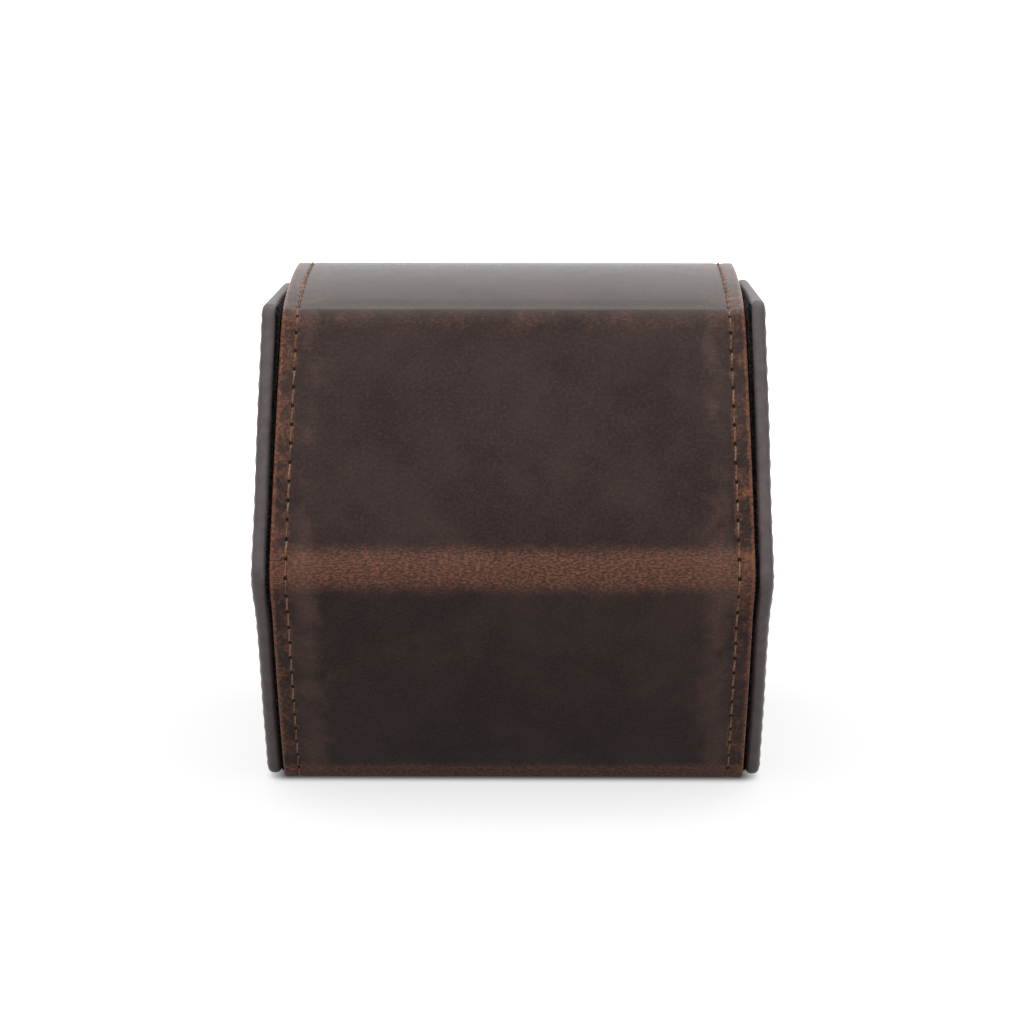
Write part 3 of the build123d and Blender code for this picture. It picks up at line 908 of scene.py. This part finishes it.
def panel_corners(sign):
    """Corners of a panel as (y, z). The right one is set a little higher at the top, as in the photograph."""
    top = TOP_HEIGHT + PANEL_REVEAL + (RIGHT_PANEL_RISE if sign > 0 else 0.0)
    return np.array([
        (-base_depth, PANEL_GROUND_GAP),
        (-RIDGE_DEPTH, ridge_height),
        (-top_depth - PANEL_REVEAL / 2, top),
        (top_depth + PANEL_REVEAL / 2, top - PANEL_FRONT_DROP),
        (RIDGE_DEPTH, ridge_height),
        (base_depth, PANEL_GROUND_GAP),
    ])


PANEL_CENTRE = np.array([0.0, ridge_height])
SHARPEST_CORNER = 0.4
CORNER_POINTS = 9
PANEL_POINTS_PER_PITCH = 8


def rounded_hexagon(sign, inset):
    """Closed outline (y, z) of an end panel, drawn in by an inset: straight sides and round corners."""
    corners = panel_corners(sign)
    count = len(corners)
    reach = max(PANEL_CORNER, inset + SHARPEST_CORNER)
    points = []
    for k in range(count):
        before, corner, after = corners[k - 1], corners[k], corners[(k + 1) % count]
        into, out = unit(corner - before), unit(after - corner)
        turn = math.acos(np.clip(into @ out, -1, 1))
        cut = reach * math.tan(turn / 2)
        inward = np.array([into[1], -into[0]])
        centre = corner - into * cut + inward * reach
        first = math.atan2(*(-inward)[::-1])
        for angle in np.linspace(first, first - turn, CORNER_POINTS):
            points.append(centre + (reach - inset) * np.array([math.cos(angle), math.sin(angle)]))
    return np.array([*points, points[0]])


def even_ring(sign, inset, count):
    """The outline at an inset, as evenly spaced points that start at the same place on each ring.

    Their places along the outline and its length come with them."""
    outer, ring = rounded_hexagon(sign, 0.0), rounded_hexagon(sign, inset)
    lengths = np.concatenate([[0], np.cumsum(np.linalg.norm(np.diff(outer, axis=0), axis=1))])
    wanted = np.linspace(0, lengths[-1], count, endpoint=False)
    return np.stack([np.interp(wanted, lengths, ring[:, k]) for k in range(2)], 1), wanted, lengths[-1]


RIDGE_OUT = 0.3
RIDGE_WIDTH = 9.0
LOW_IN = 0.2
BASE_IN = 0.15
TOP_IN = 0.45
TOP_FRONT_IN = 0.2
LOW_RANGE = (2, 8)
BASE_RANGE = (25, ridge_height)
TOP_RANGE = (TOP_HEIGHT - 25, TOP_HEIGHT + 3)


def panel_shift(y, z):
    """How far the panel stands out from its plane: out at the ridge, in at the top and the base."""
    top = smooth(z, *TOP_RANGE)
    below = ridge_height - z
    low = LOW_IN * smooth(below, *LOW_RANGE) + BASE_IN * smooth(below, *BASE_RANGE)
    high = top * (TOP_IN + TOP_FRONT_IN * smooth(y, -top_depth, top_depth))
    return RIDGE_OUT * bell(below, RIDGE_WIDTH) - low - high


def panel_points(sign, ring, out):
    """Points of a ring (y, z) at a height over the panel's outer plane."""
    return np.stack([sign * (panel_outer + panel_shift(*ring.T) + out), *ring.T], 1)


def dished_faces(rings, count, sign):
    """Faces of rings that follow each other, with a fan to a point at the last ring and one at the first.

    They face along the sign."""
    last, front = (rings - 1) * count, rings * count
    faces = ring_faces(rings, count)
    for q in range(count):
        n = (q + 1) % count
        faces += [(last + q, last + n, front), (n, q, front + 1)]
    return faces if sign > 0 else [face[::-1] for face in faces]


PANEL_EDGE_ROUND = 1.0
FACE_INSETS = [1.0, 1.4, 1.8, 2.1, 2.35, 2.6, 2.75, 2.9, 3.05, 3.2, 3.4]
FACE_SCALES = [0.985, 0.97, 0.95, 0.925, 0.9, 0.87, 0.83, 0.78, 0.7, 0.6, 0.48, 0.35, 0.22, 0.1, 0.05, 0.02]
PANEL_PUFF = 0.2
PUFF_MEAN = 0.55
PUFF_START = (0.9, 1.6)
PUFF_END = (2.3, 2.9)
PANEL_GROOVE_WIDTH = 0.5
PANEL_RUB_INSET = 1.2
PANEL_RUB_WIDTH = 0.7
PANEL_PAD = 0.35
PAD_RANGE = (0.02, 0.16)
PAD_EDGE = 0.09
PAD_EDGE_WIDTH = 0.05
PAD_SEAM = (5.0, 0.0, 0.0)
PANEL_BACK_INSET = 3.0
ROUND_STEPS = 6
FLAT_SHIFT = 200


def panel_rings():
    """Rings of a panel from its inner face round the edge to the outer face: inset, depth and part."""
    rings = [(PANEL_BACK_INSET, PANEL_THICKNESS, "back"), (PANEL_EDGE_ROUND, PANEL_THICKNESS, "edge")]
    quarter = np.linspace(0, math.pi / 2, ROUND_STEPS)
    rounding = [(PANEL_EDGE_ROUND * (1 - math.sin(a)), PANEL_EDGE_ROUND * (1 - math.cos(a))) for a in quarter]
    rings += [(inset, PANEL_THICKNESS - depth, "edge") for inset, depth in rounding[1:]]
    rings += [(inset, depth, "edge") for inset, depth in rounding[:0:-1]]
    rings += [(inset, 0.0, "face") for inset in FACE_INSETS]
    return rings


def end_panel(side, sign):
    """One end panel: leather over board, with a painted edge, a seam and a soft padded middle."""
    total = even_ring(sign, 0.0, 8)[2]
    stitches = round(total / STITCH_PITCH)
    count = stitches * PANEL_POINTS_PER_PITCH
    points, kinds = [], []
    attributes = {"flat": [], "seam": [], "wear": []}

    def add(ring, out, seam, wear):
        """Adds a ring of points, or one point, with its attributes: one value for all, or one for each."""
        points.append(panel_points(sign, ring, out))
        flat = (ring[:, 0] + sign * FLAT_SHIFT, ring[:, 1], 0.0)
        for key, values in (("flat", flat), ("seam", seam), ("wear", wear)):
            attributes[key].append(np.stack([np.broadcast_to(value, len(ring)) for value in values], 1))

    for inset, depth, part in panel_rings():
        ring, wanted, _ = even_ring(sign, inset, count)
        phase = wanted / total * stitches
        to_seam = inset - PANEL_SEAM_INSET
        proud = rub = 0.0
        if part == "face":
            to_hole = (phase - np.round(phase)) * STITCH_PITCH
            band = smooth(inset, *PUFF_START) * (1 - smooth(inset, *PUFF_END))
            proud = PANEL_PUFF * band * (PUFF_MEAN - (1 - PUFF_MEAN) * np.cos(2 * math.pi * phase))
            proud = proud - GROOVE_DEPTH * bell(to_seam, PANEL_GROOVE_WIDTH)
            proud = proud - PIT_DEPTH * bell(np.hypot(to_hole, to_seam), PIT_WIDTH)
            rub = bell(inset - PANEL_RUB_INSET, PANEL_RUB_WIDTH)
        seam = (to_seam, phase * STITCH_PITCH, part == "face")
        add(ring, proud - depth, seam, (0.0, rub, 0.0))
        kinds.append(part)
    last_ring = ring
    for scale in FACE_SCALES:
        ring = PANEL_CENTRE + (last_ring - PANEL_CENTRE) * scale
        pad_edge = bell(1 - scale - PAD_EDGE, PAD_EDGE_WIDTH)
        add(ring, PANEL_PAD * smooth(1 - scale, *PAD_RANGE), PAD_SEAM, (0.0, 0.0, pad_edge))
        kinds.append("face")
    for out in (PANEL_PAD, -PANEL_THICKNESS):
        add(PANEL_CENTRE[None], out, PAD_SEAM, (0.0, 0.0, 0.0))
    faces = dished_faces(len(kinds), count, sign)
    slots = [int(kind == "edge") for kind in kinds[1:] for _ in range(count)] + [0] * 2 * count
    made = make_mesh(f"{side}_end_panel", np.concatenate(points), faces,
                     {key: np.concatenate(values) for key, values in attributes.items()})
    give(made, wrap_leather, edge_paint)
    made.data.polygons.foreach_set("material_index", slots)
    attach(made, "tray")
    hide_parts(f"{side}_end_leather")
    return stitches


def panel_stitches(side, sign, stitches):
    """Stitches round an end panel, from hole to hole."""
    made = []
    fine = PLY_STATIONS - 1
    ring = even_ring(sign, PANEL_SEAM_INSET, stitches * fine)[0]
    ring = np.concatenate([ring, ring[:1]])
    for number in range(stitches):
        part = ring[number * fine:number * fine + fine + 1]
        middle = part.mean(0)
        part = middle + (part - middle) * (1 - 2 * HOLE_MARGIN / STITCH_PITCH)
        points = panel_points(sign, part, -GROOVE_DEPTH)
        normals = np.repeat([[float(sign), 0.0, 0.0]], len(part), 0)
        made.append((points, normals, sideways(points, normals)))
    run = thread_mesh(f"{side}_end_panel_stitches", made)
    give(run, brown_thread)
    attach(run, "tray")
    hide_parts(f"{side}_end_stitches")


VELVET_EDGE_INSET = 0.75
VELVET_RISE = 0.66
VELVET_RINGS = [(VELVET_EDGE_INSET, 0.0), (VELVET_EDGE_INSET - 0.1, 0.2), (VELVET_EDGE_INSET, 0.45),
                (VELVET_EDGE_INSET + 0.3, 0.62), (1.6, VELVET_RISE), (2.4, VELVET_RISE), (3.2, VELVET_RISE)]
VELVET_SCALES = (0.9, 0.75, 0.5, 0.25)
VELVET_FUZZ = 0.16
VELVET_CALM = 0.04
FUZZ_REACH = 1.5
FUZZ_OUT = 0.6
VELVET_POINTS = 1100


def panel_velvet(side, sign):
    """Velvet on the panel's inner face, with a ragged pile at its edge."""
    points = []
    for inset, rise in VELVET_RINGS:
        ring = even_ring(sign, inset, VELVET_POINTS)[0]
        loose = VELVET_FUZZ if inset < FUZZ_REACH and rise > 0 else VELVET_CALM
        ring = ring + unit(ring - PANEL_CENTRE) * rng.normal(0, loose, (VELVET_POINTS, 1))
        fuzz = rng.normal(0, loose * FUZZ_OUT, VELVET_POINTS) * (rise > 0)
        points.append(panel_points(sign, ring, fuzz - PANEL_THICKNESS - rise))
    inset, rise = VELVET_RINGS[-1]
    last_ring = even_ring(sign, inset, VELVET_POINTS)[0]
    for scale in VELVET_SCALES:
        ring = PANEL_CENTRE + (last_ring - PANEL_CENTRE) * scale
        points.append(panel_points(sign, ring, -PANEL_THICKNESS - rise))
    faces = dished_faces(len(points), VELVET_POINTS, -sign)
    for out in (-PANEL_THICKNESS - rise, -PANEL_THICKNESS):
        points.append(panel_points(sign, PANEL_CENTRE[None], out))
    made = make_mesh(f"{side}_end_velvet", np.concatenate(points), faces, sharp_angle=80)
    give(made, black_velvet)
    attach(made, "tray")
    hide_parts(f"{side}_end_lining")


for side_name, side_sign in (("left", -1), ("right", 1)):
    stitch_count = end_panel(side_name, side_sign)
    panel_stitches(side_name, side_sign, stitch_count)
    panel_velvet(side_name, side_sign)

# Watch pillow: a stuffed sleeve with gathered ends and a corded seam at each end
pillow_low, pillow_high = box_mm("cushion_sleeve")
cap_low, cap_high = box_mm("cushion_right_cap")
PILLOW_END = cap_high[0]
PILLOW_SEAM = cap_low[0]
PILLOW_DEPTH = (pillow_high[1] - pillow_low[1]) / 2
PILLOW_HEIGHT = (pillow_high[2] - pillow_low[2]) / 2
PILLOW_CENTRE = (pillow_low[1:] + pillow_high[1:]) / 2
PILLOW_AROUND = 160
PILLOW_POWER = 3.0
GATHERS = 34
CORD_POINTS = 240
CORD_SIDES = 10
CORD_RADIUS = 0.75
CORD_RISE = 0.35
CAP_BULGE = 1.4
DOME_PARTS = (0.96, 0.86, 0.7, 0.5, 0.28, 0.08)
END_SHRINK = 0.27
SHRINK_REACH = 0.42
SHRINK_SHAPE = 1.6
GATHER_DEPTH = 0.010
GATHER_REACH = 5.0
GATHER_SWAY = 1.7
PINCH_DEPTH = 0.022
PINCH_WIDTH = 1.1
DENT_DEPTH = 0.012
SLEEVE_STATIONS = 60
CAP_STATIONS = 5


def pillow_section(x, angle):
    """Radius factors (y, z) of the pillow's section at a place along it, with soft folds near the seams."""
    to_end = np.clip((PILLOW_END - np.abs(x)) / PILLOW_END, 0, 1)
    to_seam = np.abs(x) - PILLOW_SEAM
    shrink = 1 - END_SHRINK * (1 - smooth(to_end, 0, SHRINK_REACH)) ** SHRINK_SHAPE
    waves = np.cos(GATHERS * angle + GATHER_SWAY * np.sin(3 * angle))
    gather = GATHER_DEPTH * bell(to_seam, GATHER_REACH) * waves
    pinch = PINCH_DEPTH * bell(to_seam, PINCH_WIDTH)
    dents = DENT_DEPTH * np.sin(2 * angle + 0.11 * x) * np.cos(0.09 * x + angle)
    return shrink + gather - pinch + dents * smooth(to_end, 0.1, 0.5)


def pillow_point(x, angle):
    cosine, sine = np.cos(angle), np.sin(angle)
    round_off = (np.abs(cosine) ** PILLOW_POWER + np.abs(sine) ** PILLOW_POWER) ** (-1 / PILLOW_POWER)
    size = pillow_section(x, angle) * round_off
    y = PILLOW_CENTRE[0] + PILLOW_DEPTH * cosine * size
    z = PILLOW_CENTRE[1] + PILLOW_HEIGHT * sine * size
    return np.stack([x, y, z], -1)


def dome(ring, bulge):
    """Rings that close an end of the pillow, ever smaller and bulged past it along X."""
    centre = ring.mean(0)
    return [centre + (ring - centre) * part + np.array([bulge * math.sqrt(1 - part ** 2), 0, 0])
            for part in DOME_PARTS]


def tube(name, stations, ends):
    """Closed form from rings along X; ends gives how far each end bulges past its last ring."""
    angle = np.linspace(0, 2 * math.pi, PILLOW_AROUND, endpoint=False)
    rings = [pillow_point(np.full(PILLOW_AROUND, x), angle) for x in stations]
    rings = dome(rings[0], -ends[0])[::-1] + rings + dome(rings[-1], ends[1])
    return make_mesh(name, np.concatenate(rings), capped_faces(len(rings), PILLOW_AROUND))


def seam_cord(name, x):
    """Corded seam round the pillow."""
    angle = np.linspace(0, 2 * math.pi, CORD_POINTS, endpoint=False)
    line = pillow_point(np.full(CORD_POINTS, x), angle)
    outward = unit((line - np.array([x, *PILLOW_CENTRE])) * (0, 1, 1))
    line = line + outward * CORD_RADIUS * CORD_RISE
    rings = rings_round(line, CORD_RADIUS, outward, np.broadcast_to((1.0, 0.0, 0.0), line.shape), CORD_SIDES)
    return make_mesh(name, rings.reshape(-1, 3), ring_faces(CORD_POINTS, CORD_SIDES, closed=True))


sleeve = tube("pillow_sleeve", np.linspace(-PILLOW_SEAM, PILLOW_SEAM, SLEEVE_STATIONS), (0.0, 0.0))
give(sleeve, pillow_velvet)
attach(sleeve, "cushion")
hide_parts("cushion_sleeve", "cushion_core")
for side_name, side_sign in (("left", -1), ("right", 1)):
    inner_x, outer_x = side_sign * PILLOW_SEAM, side_sign * (PILLOW_END - CAP_BULGE)
    stations = np.linspace(min(inner_x, outer_x), max(inner_x, outer_x), CAP_STATIONS)
    bulges = (0.0, CAP_BULGE) if side_sign > 0 else (CAP_BULGE, 0.0)
    cap = tube(f"pillow_{side_name}_end", stations, bulges)
    give(cap, pillow_velvet)
    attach(cap, "cushion")
    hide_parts(f"cushion_{side_name}_cap")
    cord = seam_cord(f"pillow_{side_name}_piping", inner_x)
    give(cord, pillow_velvet)
    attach(cord, "cushion")

# Boards, magnets and gussets keep their solids and get their finish
FINISH_OF = {"board": board_grey, "magnet": magnet_nickel, "leather": black_velvet, "velvet": black_velvet}
for row in frame["record"]["subparts"]:
    node = frame["nodes"][row["node"]]
    if not node.hide_render:
        node.data.materials.clear()
        node.data.materials.append(FINISH_OF[row["material_slot"]])

# Floor
FLOOR_SIZE = 8.0
FLOOR_GAP = 0.0001
FLOOR_TONE = 0.46
FLOOR_GLOW = 0.05
# Painted contact shadow: the glow is held back within a reach of the footprint's rectangle, drawn in by these
# insets
GLOW_PAST_PAINTED_SHADOW = 0.64
PAINTED_CONTACT_SHADOW_REACH = 0.0045
PAINTED_SHADOW_SIDE_INSET = 4.0
PAINTED_SHADOW_BACK_INSET = 1.2
SHADOW_GLOW = 0.7
SHADOW_NEAR = 0.02
SHADOW_FAR = 0.2


def floor_material():
    """Near white floor. Where it is seen, it runs into the white backdrop away from the object's shadow. Its glow
    is held back in a band round the object's footprint, which paints a contact shadow there.
    """
    g = material("floor")
    place = g.node("ShaderNodeNewGeometry").outputs["Position"]
    size = g.vector_math("ABSOLUTE", place)[0]
    base = ((panel_outer - PAINTED_SHADOW_SIDE_INSET) * MM, (base_depth - PAINTED_SHADOW_BACK_INSET) * MM, 0)
    past = g.vector_math("MAXIMUM", g.vector_math("SUBTRACT", size, base)[0], (0, 0, 0))[0]
    away = g.vector_math("LENGTH", past)["Value"]
    # Painted contact shadow: little glow near the footprint, full glow past the reach
    painted_shadow_glow = g.weighted((g.step(away, 0.0, PAINTED_CONTACT_SHADOW_REACH), GLOW_PAST_PAINTED_SHADOW),
                      (g.step(away, SHADOW_NEAR, SHADOW_FAR), SHADOW_GLOW))
    seen = g.times(g.direct(), g.plus(painted_shadow_glow, FLOOR_GLOW))
    diffuse = g.node("ShaderNodeBsdfDiffuse", {"Color": (*[FLOOR_TONE] * 3, 1)})
    emission = g.node("ShaderNodeEmission", {"Color": (1, 1, 1, 1), "Strength": seen})
    both = g.node("ShaderNodeAddShader", {0: diffuse.outputs[0], 1: emission.outputs[0]})
    return g.output("Material", both)


floor_mesh = bpy.data.meshes.new("floor")
half = FLOOR_SIZE / 2
floor_corners = [(-half, -half, 0), (half, -half, 0), (half, half, 0), (-half, half, 0)]
floor_mesh.from_pydata(floor_corners, [], [(0, 1, 2, 3)])
floor = bpy.data.objects.new("floor", floor_mesh)
bpy.context.scene.collection.objects.link(floor)
floor.data.materials.append(floor_material())
floor.location.z = min(cad_low.z, 0) - FLOOR_GAP

# The world lights at a plain level, and is white where it is seen
WORLD_LIGHT = 0.35
world = bpy.data.worlds.new("studio")
bpy.context.scene.world = world
g = Graph(world)
level = g.node("ShaderNodeMapRange", {"Value": g.direct(), "To Min": WORLD_LIGHT, "To Max": 1.0})
sky = g.node("ShaderNodeBackground", {"Color": (1, 1, 1, 1), "Strength": level.outputs[0]})
g.output("World", sky)

# Light and camera
LOOK_AT = Vector((0, 0, 0.0419))
LAMP_PLACE = (0.0, -0.1, 1.75)
LAMP_SIZE = 3.0
LAMP_POWER = 35
DISTANCE = 0.6693
ELEVATION = math.radians(13.16)
AZIMUTH = math.radians(0.45)
LENS = 130.4
SHIFT = -0.0025


def aim(made, place):
    """Puts a light or a camera into the scene, at a place and looking at the object."""
    made.location = place
    made.rotation_mode = "QUATERNION"
    made.rotation_quaternion = (LOOK_AT - Vector(place)).to_track_quat("-Z", "Y")
    bpy.context.scene.collection.objects.link(made)


lamp_data = bpy.data.lights.new("overhead", "AREA")
lamp_data.shape = "SQUARE"
lamp_data.size = LAMP_SIZE
lamp_data.energy = LAMP_POWER
aim(bpy.data.objects.new("overhead", lamp_data), LAMP_PLACE)

camera_data = bpy.data.cameras.new("camera")
camera_data.lens = LENS
camera_data.sensor_width = 36
camera_data.shift_x = SHIFT
camera = bpy.data.objects.new("camera", camera_data)
back = Vector((math.sin(AZIMUTH) * math.cos(ELEVATION), -math.cos(AZIMUTH) * math.cos(ELEVATION),
               math.sin(ELEVATION)))
aim(camera, LOOK_AT + back * DISTANCE)
bpy.context.scene.camera = camera
bpy.context.scene.view_settings.view_transform = "Standard"
